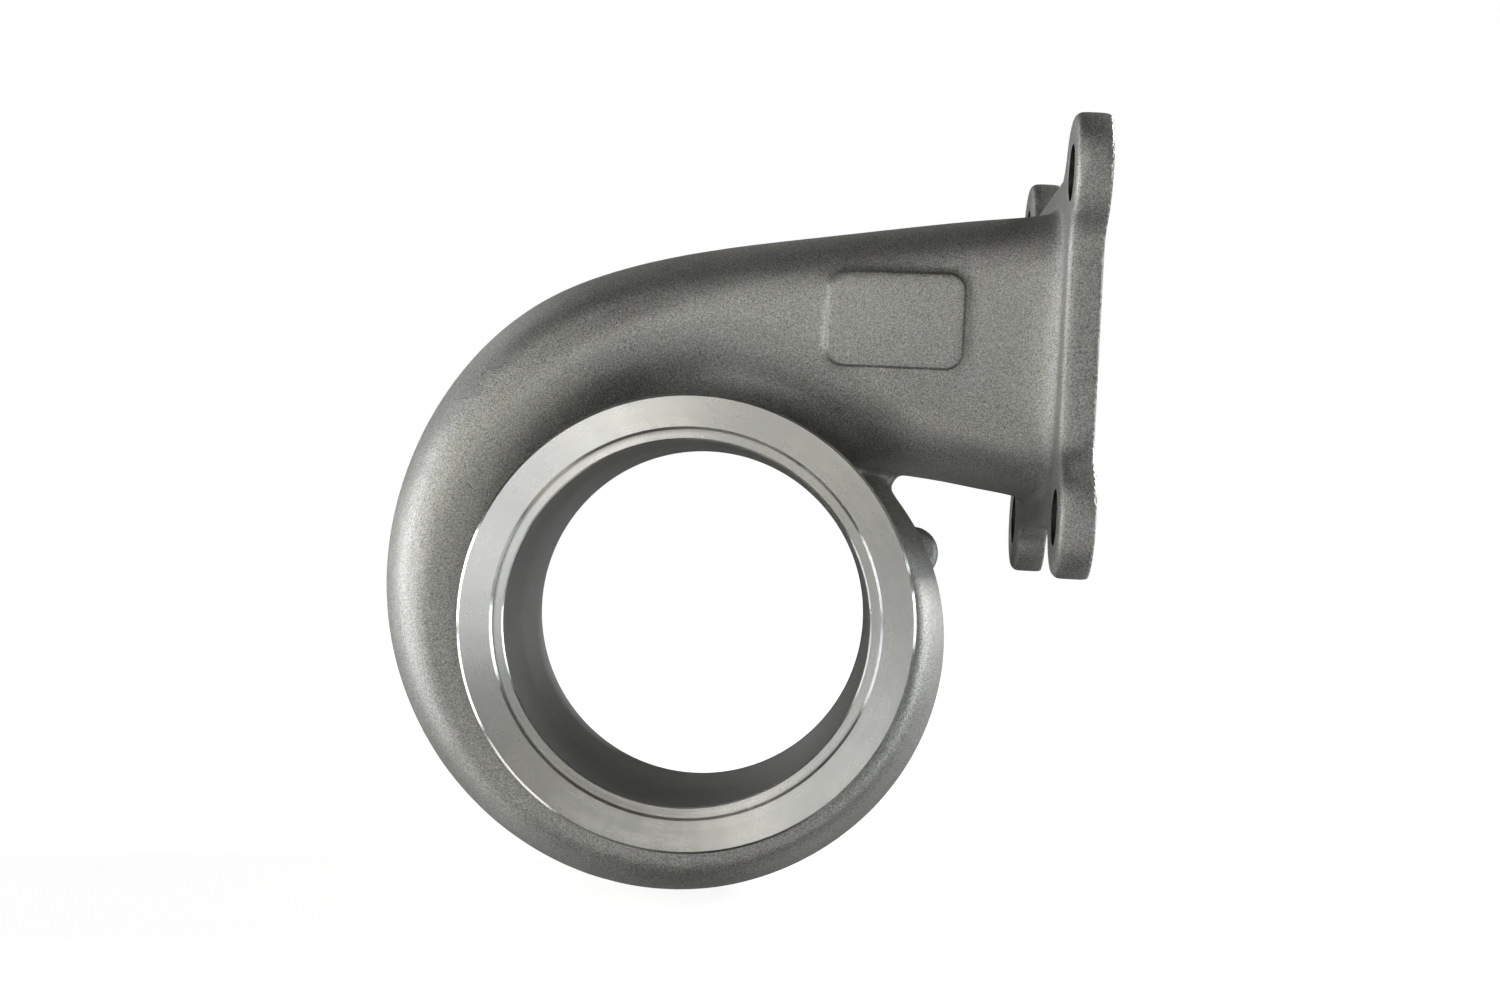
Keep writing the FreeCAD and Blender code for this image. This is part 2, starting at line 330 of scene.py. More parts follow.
@dataclass(frozen=True)
class CastSkin:
    """Bead-blasted surface of the investment casting, with the pad's crisp outline.

    Lengths are metres in the casting's own frame: x along the runner, y downward, z along the
    turbine axis. Only the falls and the pad's rise are millimetres.
    """

    name: str = "cast_skin"
    pale: Colour = (0.73, 0.725, 0.70, 1.0)
    dark: Colour = (0.27, 0.268, 0.254, 1.0)
    # near-white edge colour: bare metal of the torn edge, and partly a painted highlight along it
    burr_and_highlight: Colour = (0.93, 0.925, 0.90, 1.0)
    metallic: float = 0.93
    roughness: float = 0.54
    roughness_drift: float = 0.08
    roughness_grain: float = 0.2
    grain_per_m: float = 3600.0
    grain_tone: float = 2.5
    grain_relief: float = 0.7
    clumps_per_m: float = 1620.0
    clump_tone: float = 0.4
    clump_relief: float = 0.4
    grain_depth: float = 0.0001
    peel_per_m: float = 180.0
    peel_depth: float = 0.00018
    drift_per_m: float = 40.0
    drift_tone: float = 0.45
    pad_centre: tuple[float, float] = (0.038, -0.062)
    pad_half: tuple[float, float] = (0.0135, 0.0095)
    pad_corner_r: float = 0.0035
    pad_edge: float = 0.00035
    pad_rise: float = 0.4
    pad_depths: Span = (0.044, 0.045)
    torn_along: Span = (0.0766, 0.0770)
    torn_per_m: float = 1100.0
    torn_raggedness: float = 0.0012
    torn_fall: float = 0.3
    ridge_r: float = 0.0455
    ridge_swell: float = 0.0303
    ridge_most: float = 0.062
    ridge_halvings: float = 6.0
    ridge_start_deg: float = 30.0
    outer_fall: float = 1.1
    outer_width: float = 0.007
    outer_ends_along: Span = (-0.02, 0.01)
    inner_fall: float = 3.1
    inner_width: float = 0.012
    inner_starts_up: Span = (0.01, 0.045)
    inner_starts_turn: Span = (0.01, 0.06)
    crown_depths: Span = (0.03, 0.075)

    def _crown(self, x: Signal, y: Signal, z: Signal) -> Signal:
        """Fall from the ridge of scroll and runner, so that their front shades rounder.

        Args:
            x: position along the runner.
            y: position downward.
            z: position along the turbine axis.

        Returns:
            The fall in millimetres.
        """
        turn = ((-y).bearing(x) / math.tau - self.ridge_start_deg / 360).fraction()
        swell = self.ridge_swell * 0.5 ** (turn * self.ridge_halvings)
        ridge = (self.ridge_r + swell).least(self.ridge_most)
        out = (x * x + y * y) ** 0.5 - ridge
        scroll_only = 1.0 - x.step(*self.outer_ends_along)
        outward = out.step(0.0, self.outer_width) * scroll_only * self.outer_fall
        above = (-y).step(*self.inner_starts_up) * turn.step(*self.inner_starts_turn)
        inward = (1.0 - out.step(-self.inner_width, 0.0)) * above * self.inner_fall
        return (outward + inward) * (1.0 - z.step(*self.crown_depths))

    def _pad(self, x: Signal, y: Signal, z: Signal) -> Signal:
        """Height of the pad's rounded rectangle.

        Args:
            x: position along the runner.
            y: position downward.
            z: position along the turbine axis.

        Returns:
            1 on the pad, 0 beside it.
        """
        out_x = abs(x - self.pad_centre[0]) - (self.pad_half[0] - self.pad_corner_r)
        out_y = abs(y - self.pad_centre[1]) - (self.pad_half[1] - self.pad_corner_r)
        round_x, round_y = out_x.most(0.0), out_y.most(0.0)
        away = (round_x * round_x + round_y * round_y) ** 0.5 + out_x.most(out_y).least(0.0)
        beside = away.step(self.pad_corner_r - self.pad_edge, self.pad_corner_r + self.pad_edge)
        return (1.0 - beside) * (1.0 - z.step(*self.pad_depths))

    def build(self) -> bpy.types.Material:
        """Sandy grain, slow tone drift, a slight orange peel and a ragged milled edge with a painted
        highlight along it.

        Returns:
            The material.
        """
        shader = Shader(self.name)
        place = shader.place()
        x, y, z = shader.axes(place)
        grain = shader.noise(place, self.grain_per_m, detail=1.5)
        clumps = shader.noise(place, self.clumps_per_m, detail=1.0)
        peel = shader.noise(place, self.peel_per_m)
        drift = shader.noise(place, self.drift_per_m, detail=3.0)
        ragged = shader.noise(place, self.torn_per_m)
        share = 0.5 + grain.swing(self.grain_tone) + clumps.swing(self.clump_tone)
        share = share + drift.swing(self.drift_tone)
        torn_and_highlit = (x + ragged.swing(self.torn_raggedness)).step(*self.torn_along)
        # painted highlight: the ragged band at the milled edge is painted near-white, brighter than the
        # milled metal, over the real fall that the bump gives it
        colour = shader.blend(torn_and_highlit, shader.blend(share, self.dark, self.pale), self.burr_and_highlight)
        rough = self.roughness + drift.swing(self.roughness_drift) + grain.swing(self.roughness_grain)
        rounded = shader.bump(-self._crown(x, y, z), MM)
        steps = self._pad(x, y, z) * self.pad_rise - torn_and_highlit * self.torn_fall
        raised = shader.bump(steps, MM, under=rounded)
        uneven = shader.bump(peel, self.peel_depth, under=raised)
        sand = grain * self.grain_relief + clumps * self.clump_relief
        relief = shader.bump(sand, self.grain_depth, under=uneven)
        return shader.dress(Base_Color=colour, Metallic=self.metallic, Roughness=rough, Normal=relief)


@dataclass(frozen=True)
class TurnedFace:
    """Satin face left by a lathe; fine rings spread its highlights into fans, and painted highlight sectors
    lie in its colour by angle.
    """

    name: str = "turned_face"
    pale: Colour = (0.98, 0.97, 0.935, 1.0)
    dark: Colour = (0.74, 0.742, 0.73, 1.0)
    worn: Colour = (0.58, 0.578, 0.56, 1.0)
    roughness: float = 0.26
    roughness_bands: float = 0.08
    roughness_cloud: float = 0.14
    anisotropy: float = 0.9
    across: float = 0.25
    rings_per_m: float = 5200.0
    ring_depth: float = 0.000010
    ring_tone: float = 0.5
    rings_per_band: int = 12
    band_tone: float = 0.5
    cloud_per_m: float = 90.0
    cloud_tone: float = 1.3
    # painted highlight: pattern and strength of the lighter and darker sectors round the axis
    fan_highlight_seed: float = 5.48
    fan_highlight_scale: float = 1.7
    fan_highlight_tone: float = 2.2
    flecks_per_m: float = 2300.0
    fleck_tone: float = 0.5
    pit_levels: Span = (0.64, 0.72)
    pit_share: float = 0.6

    def build(self) -> bpy.types.Material:
        """Rings about the object's own z axis, and painted highlight sectors by angle round it.

        Returns:
            The material.
        """
        shader = Shader(self.name)
        place = shader.place()
        x, y, z = shader.axes(place)
        radius = (x * x + y * y) ** 0.5
        around = shader.vector(radius, 0.0, z)
        heading = shader.vector(x / radius, y / radius, self.fan_highlight_seed)
        rings = shader.noise(around, self.rings_per_m)
        bands = shader.noise(around, self.rings_per_m / self.rings_per_band)
        cloud = shader.noise(place, self.cloud_per_m, detail=5.0, rough=0.62)
        # painted highlight: lighter and darker sectors by angle round the axis stand in for the fans of the
        # lamps' reflections
        painted_fans = shader.noise(heading, self.fan_highlight_scale, detail=3.0, rough=0.6)
        fleck = shader.noise(place, self.flecks_per_m)
        pits = fleck.step(*self.pit_levels)
        tone = 0.5 + cloud.swing(self.cloud_tone) + painted_fans.swing(self.fan_highlight_tone)
        tone = tone + bands.swing(self.band_tone) + rings.swing(self.ring_tone)
        tone = tone + fleck.swing(self.fleck_tone)
        clean = shader.blend(tone, self.dark, self.pale)
        colour = shader.blend(pits * self.pit_share, clean, self.worn)
        rough = self.roughness + bands.swing(self.roughness_bands) + cloud.swing(self.roughness_cloud)
        relief = shader.bump(rings, self.ring_depth)
        return shader.dress(Base_Color=colour, Metallic=1.0, Roughness=rough, Normal=relief,
                            Anisotropic=self.anisotropy, Anisotropic_Rotation=self.across)


@dataclass(frozen=True)
class BoreWall:
    """Wall of the exhaust bore: a dull lead-in, then a slightly brighter straight part."""

    name: str = "bore_wall"
    lead: Colour = (0.62, 0.616, 0.608, 1.0)
    straight: Colour = (0.67, 0.666, 0.658, 1.0)
    soot: Colour = (0.48, 0.477, 0.47, 1.0)
    soot_from: float = 0.35
    soot_cloud: float = 0.9
    soot_rings: float = 0.4
    line_depths: Span = (0.0298, 0.0302)
    metallic: float = 0.9
    roughness: float = 0.52
    rings_per_m: float = 3800.0
    ring_depth: float = 0.00002
    cloud_per_m: float = 70.0

    def build(self) -> bpy.types.Material:
        """Coarse turning rings under a dull film, told apart by their depth along z.

        Returns:
            The material.
        """
        shader = Shader(self.name)
        place = shader.place()
        _, _, z = shader.axes(place)
        rings = shader.noise(shader.vector(0.0, 0.0, z), self.rings_per_m)
        cloud = shader.noise(place, self.cloud_per_m, detail=3.0)
        clean = shader.blend(z.step(*self.line_depths), self.lead, self.straight)
        film = (cloud - self.soot_from) * self.soot_cloud + rings.swing(self.soot_rings)
        colour = shader.blend(film, clean, self.soot)
        relief = shader.bump(rings, self.ring_depth)
        return shader.dress(Base_Color=colour, Metallic=self.metallic, Roughness=self.roughness,
                            Normal=relief)


@dataclass(frozen=True)
class MilledFace:
    """Flat face left by a face mill, with wide arcs."""

    name: str = "milled_face"
    pale: Colour = (0.72, 0.71, 0.69, 1.0)
    dark: Colour = (0.58, 0.575, 0.56, 1.0)
    roughness: float = 0.34
    roughness_cloud: float = 0.12
    sweep_radius: float = 0.11
    arcs_per_m: float = 2600.0
    arc_depth: float = 0.00003
    arc_share: float = 0.5
    cloud_per_m: float = 90.0

    def build(self) -> bpy.types.Material:
        """Arcs about a centre below the face, and a broken cloud over them.

        Returns:
            The material.
        """
        shader = Shader(self.name)
        place = shader.place()
        _, y, z = shader.axes(place)
        down = self.sweep_radius - y
        sweep = (z * z + down * down) ** 0.5
        arcs = shader.noise(shader.vector(sweep, 0.0, 0.0), self.arcs_per_m)
        cloud = shader.noise(place, self.cloud_per_m, detail=3.0)
        share = arcs * self.arc_share + cloud * (1 - self.arc_share)
        colour = shader.blend(share, self.dark, self.pale)
        rough = self.roughness + cloud.swing(self.roughness_cloud)
        relief = shader.bump(arcs, self.arc_depth)
        return shader.dress(Base_Color=colour, Metallic=1.0, Roughness=rough, Normal=relief)


@dataclass(frozen=True)
class DrilledHole:
    """Reamed wall of a bolt hole, painted dark as the shade inside the hole."""

    name: str = "drilled_hole"
    # painted shade: the wall is darker than bare reamed metal, standing in for the shade inside the holes
    colour: Colour = (0.30, 0.298, 0.29, 1.0)
    roughness: float = 0.2
    roughness_cloud: float = 0.12
    cloud_per_m: float = 800.0

    def build(self) -> bpy.types.Material:
        """Metal painted dark as the hole's shade, with a faint cloud.

        Returns:
            The material.
        """
        shader = Shader(self.name)
        cloud = shader.noise(shader.place(), self.cloud_per_m)
        rough = self.roughness + cloud.swing(self.roughness_cloud)
        return shader.dress(Base_Color=self.colour, Metallic=1.0, Roughness=rough)


def build_finishes() -> list[bpy.types.Material]:
    """Builds the housing's materials, in the order of Finish."""
    return [finish.build() for finish in
            (CastSkin(), TurnedFace(), BoreWall(), MilledFace(), DrilledHole())]


def add_object(name: str, data: bpy.types.ID) -> bpy.types.Object:
    """Links a new object to the scene.

    Args:
        name: its name.
        data: its mesh, camera or light.

    Returns:
        The object.
    """
    made = bpy.data.objects.new(name, data)
    bpy.context.collection.objects.link(made)
    return made


def scaled(profile: Profile) -> list[tuple[float, float]]:
    """Turns (radius, depth) corners from millimetres into metres."""
    return [(radius * MM, depth * MM) for radius, depth in profile]


def add_lathe(bm: bmesh.types.BMesh, profile: Profile, segments: int, place: Matrix,
              finishes: Sequence[int] = ()) -> None:
    """Adds a closed turned solid to a mesh.

    Args:
        bm: the mesh that gets it.
        profile: (radius, height) corners in metres, from the axis round to the axis.
        segments: steps round the axis.
        place: moves the solid, which is turned about z, to where it belongs.
        finishes: material index of the wall that follows each corner; the first is the default.
    """
    rings = []
    for radius, height in profile:
        if radius == 0:
            rings.append([bm.verts.new(place @ Vector((0, 0, height)))])
            continue
        ring = []
        for index in range(segments):
            turn = math.tau * index / segments
            point = Vector((radius * math.cos(turn), radius * math.sin(turn), height))
            ring.append(bm.verts.new(place @ point))
        rings.append(ring)
    for row, (low, high) in enumerate(zip(rings, rings[1:])):
        for index in range(segments):
            after = (index + 1) % segments
            corners = [low[index % len(low)], low[after % len(low)],
                       high[after % len(high)], high[index % len(high)]]
            unique = list(dict.fromkeys(corners))
            if len(unique) > 2:
                face = bm.faces.new(unique)
                face.material_index = finishes[row] if row < len(finishes) else 0


def mesh_from(bm: bmesh.types.BMesh, name: str, finishes: Sequence[bpy.types.Material]) -> bpy.types.Mesh:
    """Closes a working mesh into a real one with outward normals.

    Args:
        bm: the working mesh, which is freed.
        name: the mesh's name.
        finishes: its materials.

    Returns:
        The mesh.
    """
    bmesh.ops.recalc_face_normals(bm, faces=bm.faces)
    mesh = bpy.data.meshes.new(name)
    bm.to_mesh(mesh)
    bm.free()
    for finish in finishes:
        mesh.materials.append(finish)
    return mesh


def settle(piece: bpy.types.Object) -> None:
    """Applies every modifier of a piece to its mesh.

    Args:
        piece: the object.
    """
    graph = bpy.context.evaluated_depsgraph_get()
    graph.update()
    mesh = bpy.data.meshes.new_from_object(piece.evaluated_get(graph), depsgraph=graph)
    piece.modifiers.clear()
    old = piece.data
    piece.data = mesh
    bpy.data.meshes.remove(old)


def soften(piece: bpy.types.Object, edge_deg: float) -> None:
    """Shades a piece smooth, with crisp edges where it turns by more than an angle."""
    piece.data.shade_smooth()
    piece.data.set_sharp_from_angle(angle=math.radians(edge_deg))


def centre_grain(piece: bpy.types.Object) -> None:
    """Centres a piece's texture space on its own z axis, so that brushed finishes turn about it.

    Args:
        piece: the object.
    """
    mesh = piece.data
    mesh.use_auto_texspace = False
    mesh.texspace_location = (0, 0, 0)
    mesh.texspace_size = (1, 1, 1)


@dataclass
class HousingSizes:
    """Sizes of the turned and drilled features, in millimetres, as the part has them."""

    rim_r: float = 45.1
    rim_edge: float = 3.4
    rim_chamfer: float = 0.5
    rim_slope_deg: float = 20.0
    groove_r: float = 40.3
    groove_end: float = 8.6
    pilot_r: float = 38.1
    pilot_depth: float = 1.6
    pilot_break: float = 0.5
    bore_lip_r: float = 36.1
    lip_break: float = 0.3
    bore_taper_end: float = 30.0
    bore_r: float = 35.9
    edge_break: float = 0.4
    bore_length: float = 64.0
    chamber_r: float = 41.0
    contour_length: float = 7.0
    back_face: float = 92.0
    seat_r: float = 43.5
    seat_depth: float = 8.0
    bolt_circle_r: float = 49.0
    bolt_count: int = 6
    bolt_first_deg: float = 18.5
    tap_r: float = 3.4
    tap_depth: float = 14.0
    tap_chamfer: float = 0.5
    inlet_face: float = 77.0
    flange_back: float = 70.0
    inlet_y: float = 42.0
    inlet_z: float = 57.8
    bolt_spacing_y: float = 92.1
    bolt_spacing_z: float = 66.7
    bolt_hole_r: float = 5.5
    bolt_hole_chamfer: float = 0.35

    def axis_frame(self) -> Matrix:
        """Frame whose z runs along the turbine axis."""
        return Matrix.Rotation(math.radians(-90), 4, "X")

    def bore_radius(self, depth: float) -> float:
        """Radius of the tapering bore at a depth, in millimetres."""
        share = (self.bore_taper_end - depth) / (self.bore_taper_end - self.pilot_depth)
        return self.bore_r + (self.bore_lip_r - self.bore_r) * max(0.0, share)

    def tap_frames(self) -> list[Matrix]:
        """Finds the mouths of the tapped holes.

        Returns:
            A frame at each, z pointing into the metal.
        """
        frames = []
        for index in range(self.bolt_count):
            turn = math.radians(self.bolt_first_deg) + math.tau * index / self.bolt_count
            mouth = Vector((self.bolt_circle_r * math.cos(turn), self.back_face,
                            self.bolt_circle_r * math.sin(turn))) * MM
            frames.append(Matrix.Translation(mouth) @ Matrix.Rotation(math.radians(90), 4, "X"))
        return frames

    def inlet_frames(self) -> list[Matrix]:
        """Finds the inlet holes in the mating face.

        Returns:
            A frame at each, z pointing into the metal.
        """
        frames = []
        for side_y in (-1, 1):
            for side_z in (-1, 1):
                mouth = Vector((self.inlet_face, self.inlet_y + side_y * self.bolt_spacing_y / 2,
                                self.inlet_z + side_z * self.bolt_spacing_z / 2)) * MM
                frames.append(Matrix.Translation(mouth) @ Matrix.Rotation(math.radians(-90), 4, "Y"))
        return frames

    def contour(self, steps: int, spare: float) -> list[tuple[float, float]]:
        """Wheel contour from the bore to the throat.

        Args:
            steps: corners along it.
            spare: how much wider than the part's own contour, so that a cut is clean.

        Returns:
            (radius, depth) corners in millimetres.
        """
        corners = []
        for index in range(1, steps + 1):
            turn = math.pi / 2 * index / steps
            radius = self.bore_r + (self.chamber_r - self.bore_r) * (1 - math.cos(turn))
            corners.append((radius + spare, self.bore_length + self.contour_length * math.sin(turn)))
        return corners


@dataclass
class Casting:
    """The casting: a softened copy of the CAD solid, then cut again by the machining.

    Lengths are millimetres, apart from the voxels and the miller's reach, which are metres.
    """

    sizes: HousingSizes
    finishes: Sequence[bpy.types.Material]
    name: str = "housing_casting"
    voxel: float = 0.00085
    quick_voxel: float = 0.0018
    soften_rounds: int = 6
    soften_share: float = 0.5
    faces_kept: int = 186000
    crisp_deg: float = 34.0
    level_slack: float = 0.02
    stock: float = 3.0
    skin: float = 1.5
    rim_stock_end: float = 5.0
    neck_stock_from: float = 6.0
    neck_skin: float = 2.0
    end_skin: float = 2.0
    seat_skin: float = 2.5
    hole_back_left: float = 0.8
    run_in: float = 9.0
    contour_steps: int = 10
    contour_spare: float = 0.12
    rim_clearance: float = 3.4
    back_clearance: float = 14.0
    milling_reach: float = 0.3
    tap_run_in: float = 1.0
    drill_point: float = 0.6
    drill_run_in: float = 1.7
    drill_run_out: float = 4.0
    turned_segments: int = 192
    plug_segments: int = 32
    tap_segments: int = 48
    hole_segments: int = 64

    def _solid_copy(self) -> bmesh.types.BMesh:
        """Copies the CAD solid, welded, with every machined place filled and padded with stock.

        Returns:
            The working mesh.
        """
        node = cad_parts[NODE]
        bm = bmesh.new()
        bm.from_mesh(node.data)
        bm.transform(node.matrix_world)
        bmesh.ops.remove_doubles(bm, verts=bm.verts, dist=1e-6)
        self._push(bm, 0, self.sizes.inlet_face)
        self._push(bm, 1, self.sizes.back_face)
        self._fill(bm)
        return bm

    def _push(self, bm: bmesh.types.BMesh, axis: int, level: float) -> None:
        """Pushes the flat face at a level outward, so that its edge is cut again later.

        Args:
            bm: the working mesh.
            axis: 0 for a face across X, 1 for one across Y.
            level: where the face is.
        """
        flat = [face for face in bm.faces
                if all(abs(vert.co[axis] - level * MM) < self.level_slack * MM for vert in face.verts)]
        grown = bmesh.ops.extrude_face_region(bm, geom=flat)
        moved = [item for item in grown["geom"] if isinstance(item, bmesh.types.BMVert)]
        step = Vector((0, 0, 0))
        step[axis] = self.stock * MM
        bmesh.ops.translate(bm, verts=moved, vec=step)
        bmesh.ops.delete(bm, geom=flat, context="FACES_ONLY")

    def _fill(self, bm: bmesh.types.BMesh) -> None:
        """Adds plugs that fill what the machining cuts again.

        Args:
            bm: the working mesh.
        """
        sizes = self.sizes
        rim_r, neck_r = sizes.rim_r + self.skin, sizes.groove_r + self.neck_skin
        rim = [(0, -self.stock), (rim_r, -self.stock), (rim_r, self.rim_stock_end),
               (neck_r, self.neck_stock_from), (neck_r, sizes.groove_end), (0, sizes.groove_end)]
        wall_r, wall_end = sizes.bore_lip_r + self.skin, sizes.bore_length + self.end_skin
        wall = [(0, 0), (wall_r, 0), (wall_r, wall_end), (0, wall_end)]
        seat_front = sizes.back_face - sizes.seat_depth - self.seat_skin
        seat_r, seat_end = sizes.seat_r + self.skin, sizes.back_face + self.stock
        seat = [(0, seat_front), (seat_r, seat_front), (seat_r, seat_end), (0, seat_end)]
        for profile in (rim, wall, seat):
            add_lathe(bm, scaled(profile), self.turned_segments, sizes.axis_frame())
        through = sizes.inlet_face - sizes.flange_back
        for radius, end, places in (
                (sizes.tap_r, sizes.tap_depth + self.end_skin, sizes.tap_frames()),
                (sizes.bolt_hole_r, through - self.hole_back_left, sizes.inlet_frames())):
            plug = [(0, -self.stock), (radius + self.skin, -self.stock), (radius + self.skin, end), (0, end)]
            for place in places:
                add_lathe(bm, scaled(plug), self.plug_segments, place)

    def _cutter(self, bm: bmesh.types.BMesh, name: str) -> bpy.types.Object:
        """Makes a cutter of a working mesh."""
        return add_object(name, mesh_from(bm, name, self.finishes))

    def _turning(self) -> bpy.types.Object:
        """Makes what the lathe cuts: outlet end, bore, contour, chamber, seat and back face.

        Returns:
            The cutter.
        """
        sizes = self.sizes
        clear_r = sizes.rim_r + self.rim_clearance
        contour = sizes.contour(self.contour_steps, self.contour_spare)
        profile = [(0, -self.run_in), (clear_r, -self.run_in), (clear_r, sizes.groove_end),
                   (sizes.bore_radius(sizes.groove_end), sizes.groove_end),
                   (sizes.bore_r, sizes.bore_taper_end), (sizes.bore_r, sizes.bore_length)]
        walls = [Finish.TURNED] * 3 + [Finish.BORE] * 3
        profile += contour
        walls += [Finish.BORE] * len(contour)
        land = sizes.back_face - sizes.seat_depth
        past = sizes.back_face + self.run_in
        back_r = sizes.bolt_circle_r + self.back_clearance
        profile += [(sizes.chamber_r, land), (sizes.seat_r, land),
                    (sizes.seat_r, sizes.back_face - sizes.edge_break),
                    (sizes.seat_r + sizes.edge_break, sizes.back_face),
                    (back_r, sizes.back_face), (back_r, past), (0, past)]
        walls += [Finish.TURNED] * 6
        bm = bmesh.new()
        add_lathe(bm, scaled(profile), self.turned_segments, sizes.axis_frame(), walls)
        return self._cutter(bm, "turning_cutter")

    def _milling(self) -> bpy.types.Object:
        """Makes a block beyond the inlet's mating face.

        Returns:
            The cutter.
        """
        bm = bmesh.new()
        bmesh.ops.create_cube(bm, size=1.0)
        reach = self.milling_reach
        bmesh.ops.scale(bm, vec=(reach, reach, reach), verts=bm.verts)
        bmesh.ops.translate(bm, vec=(self.sizes.inlet_face * MM + reach / 2, 0, 0), verts=bm.verts)
        for face in bm.faces:
            face.material_index = Finish.MILLED
        return self._cutter(bm, "milling_cutter")

    def _tapping(self) -> bpy.types.Object:
        """Makes the tapped holes at the back, with drill points.

        Returns:
            The cutter.
        """
        sizes = self.sizes
        lead = sizes.tap_r + sizes.tap_chamfer
        tap = [(0, -self.tap_run_in), (lead, -self.tap_run_in), (lead, 0), (sizes.tap_r, sizes.tap_chamfer),
               (sizes.tap_r, sizes.tap_depth), (0, sizes.tap_depth + sizes.tap_r * self.drill_point)]
        bm = bmesh.new()
        for place in sizes.tap_frames():
            add_lathe(bm, scaled(tap), self.tap_segments, place, [Finish.DRILLED] * len(tap))
        return self._cutter(bm, "tapping_cutter")

    def _drills(self) -> list[bpy.types.Object]:
        """Makes the through holes of the inlet flange.

        Returns:
            A cutter for each.
        """
        sizes = self.sizes
        lead = sizes.bolt_hole_r + sizes.bolt_hole_chamfer
        past = sizes.inlet_face - sizes.flange_back + self.drill_run_out
        hole = [(0, -self.drill_run_in), (lead, -self.drill_run_in), (lead, 0),
                (sizes.bolt_hole_r, sizes.bolt_hole_chamfer), (sizes.bolt_hole_r, past), (0, past)]
        tools = []
        for place in sizes.inlet_frames():
            bm = bmesh.new()
            add_lathe(bm, scaled(hole), self.hole_segments, place, [Finish.DRILLED] * len(hole))
            tools.append(self._cutter(bm, "drilling_cutter"))
        return tools

    def _cut(self, piece: bpy.types.Object, tool: bpy.types.Object) -> None:
        """Takes a cutter's shape out of a piece, and removes the cutter.

        Args:
            piece: what is cut.
            tool: the cutter.
        """
        cut = piece.modifiers.new("cut", "BOOLEAN")
        cut.operation = "DIFFERENCE"
        cut.solver = "EXACT"
        cut.material_mode = "TRANSFER"
        cut.use_hole_tolerant = True
        cut.object = tool
        settle(piece)
        bpy.data.objects.remove(tool, do_unlink=True)

    def _round_edges(self, piece: bpy.types.Object) -> None:
        """Rounds the edges of a piece as casting does, and thins its mesh.

        Args:
            piece: the uncut casting.
        """
        remesh = piece.modifiers.new("remesh", "REMESH")
        remesh.mode = "VOXEL"
        remesh.voxel_size = self.voxel
        remesh.use_smooth_shade = True
        smooth = piece.modifiers.new("smooth", "SMOOTH")
        smooth.factor = self.soften_share
        smooth.iterations = self.soften_rounds
        settle(piece)
        corners = sum(len(face.vertices) - 2 for face in piece.data.polygons)
        if corners > self.faces_kept:
            thin = piece.modifiers.new("thin", "DECIMATE")
            thin.ratio = self.faces_kept / corners
            settle(piece)

    def build(self) -> bpy.types.Object:
        """Builds the casting.

        Returns:
            The piece.
        """
        piece = add_object(self.name, mesh_from(self._solid_copy(), self.name, self.finishes))
        self._round_edges(piece)
        log.info("%s softened: %d faces", self.name, len(piece.data.polygons))
        for tool in (self._turning(), self._milling(), self._tapping(), *self._drills()):
            self._cut(piece, tool)
        along = self.sizes.axis_frame()
        piece.data.transform(along.inverted())
        piece.matrix_world = along
        centre_grain(piece)
        soften(piece, self.crisp_deg)
        for face in piece.data.polygons:
            if face.material_index == Finish.MILLED:
                face.use_smooth = False
        return piece


@dataclass
class ClampRim:
    """The turned clamp rim and its groove, as one ring about the turbine axis."""

    sizes: HousingSizes
    finishes: Sequence[bpy.types.Material]
    name: str = "outlet_clamp_rim"
    segments: int = 256
    overlap: float = 0.6
    back_break: float = 0.25
    weld: float = 1e-7
    crisp_deg: float = 12.0

    def build(self) -> bpy.types.Object:
        """Builds the rim.

        Returns:
            The piece.
        """
        sizes = self.sizes
        slope = (sizes.rim_r - sizes.groove_r) * math.tan(math.radians(sizes.rim_slope_deg))
        end = sizes.groove_end + self.overlap
        inside = sizes.bore_radius(sizes.groove_end)
        under = inside + self.overlap
        profile = [
            (under, end), (under, sizes.groove_end), (inside, sizes.groove_end),
            (sizes.bore_lip_r, sizes.pilot_depth + sizes.lip_break),
            (sizes.bore_lip_r + sizes.lip_break, sizes.pilot_depth),
            (sizes.pilot_r, sizes.pilot_depth), (sizes.pilot_r, sizes.pilot_break),
            (sizes.pilot_r + sizes.pilot_break, 0),
            (sizes.rim_r - sizes.rim_chamfer, 0), (sizes.rim_r, sizes.rim_chamfer),
            (sizes.rim_r, sizes.rim_edge - self.back_break),
            (sizes.rim_r - self.back_break, sizes.rim_edge),
            (sizes.groove_r, sizes.rim_edge + slope), (sizes.groove_r, end),
        ]
        turned, bore = range(2)
        walls = [turned, bore, bore, turned, turned, bore]
        bm = bmesh.new()
        corners = scaled(profile)
        add_lathe(bm, corners + corners[:1], self.segments, Matrix.Identity(4), walls)
        bmesh.ops.remove_doubles(bm, verts=bm.verts, dist=self.weld)
        finishes = [self.finishes[Finish.TURNED], self.finishes[Finish.BORE]]
        piece = add_object(self.name, mesh_from(bm, self.name, finishes))
        piece.matrix_world = sizes.axis_frame()
        centre_grain(piece)
        soften(piece, self.crisp_deg)
        return piece


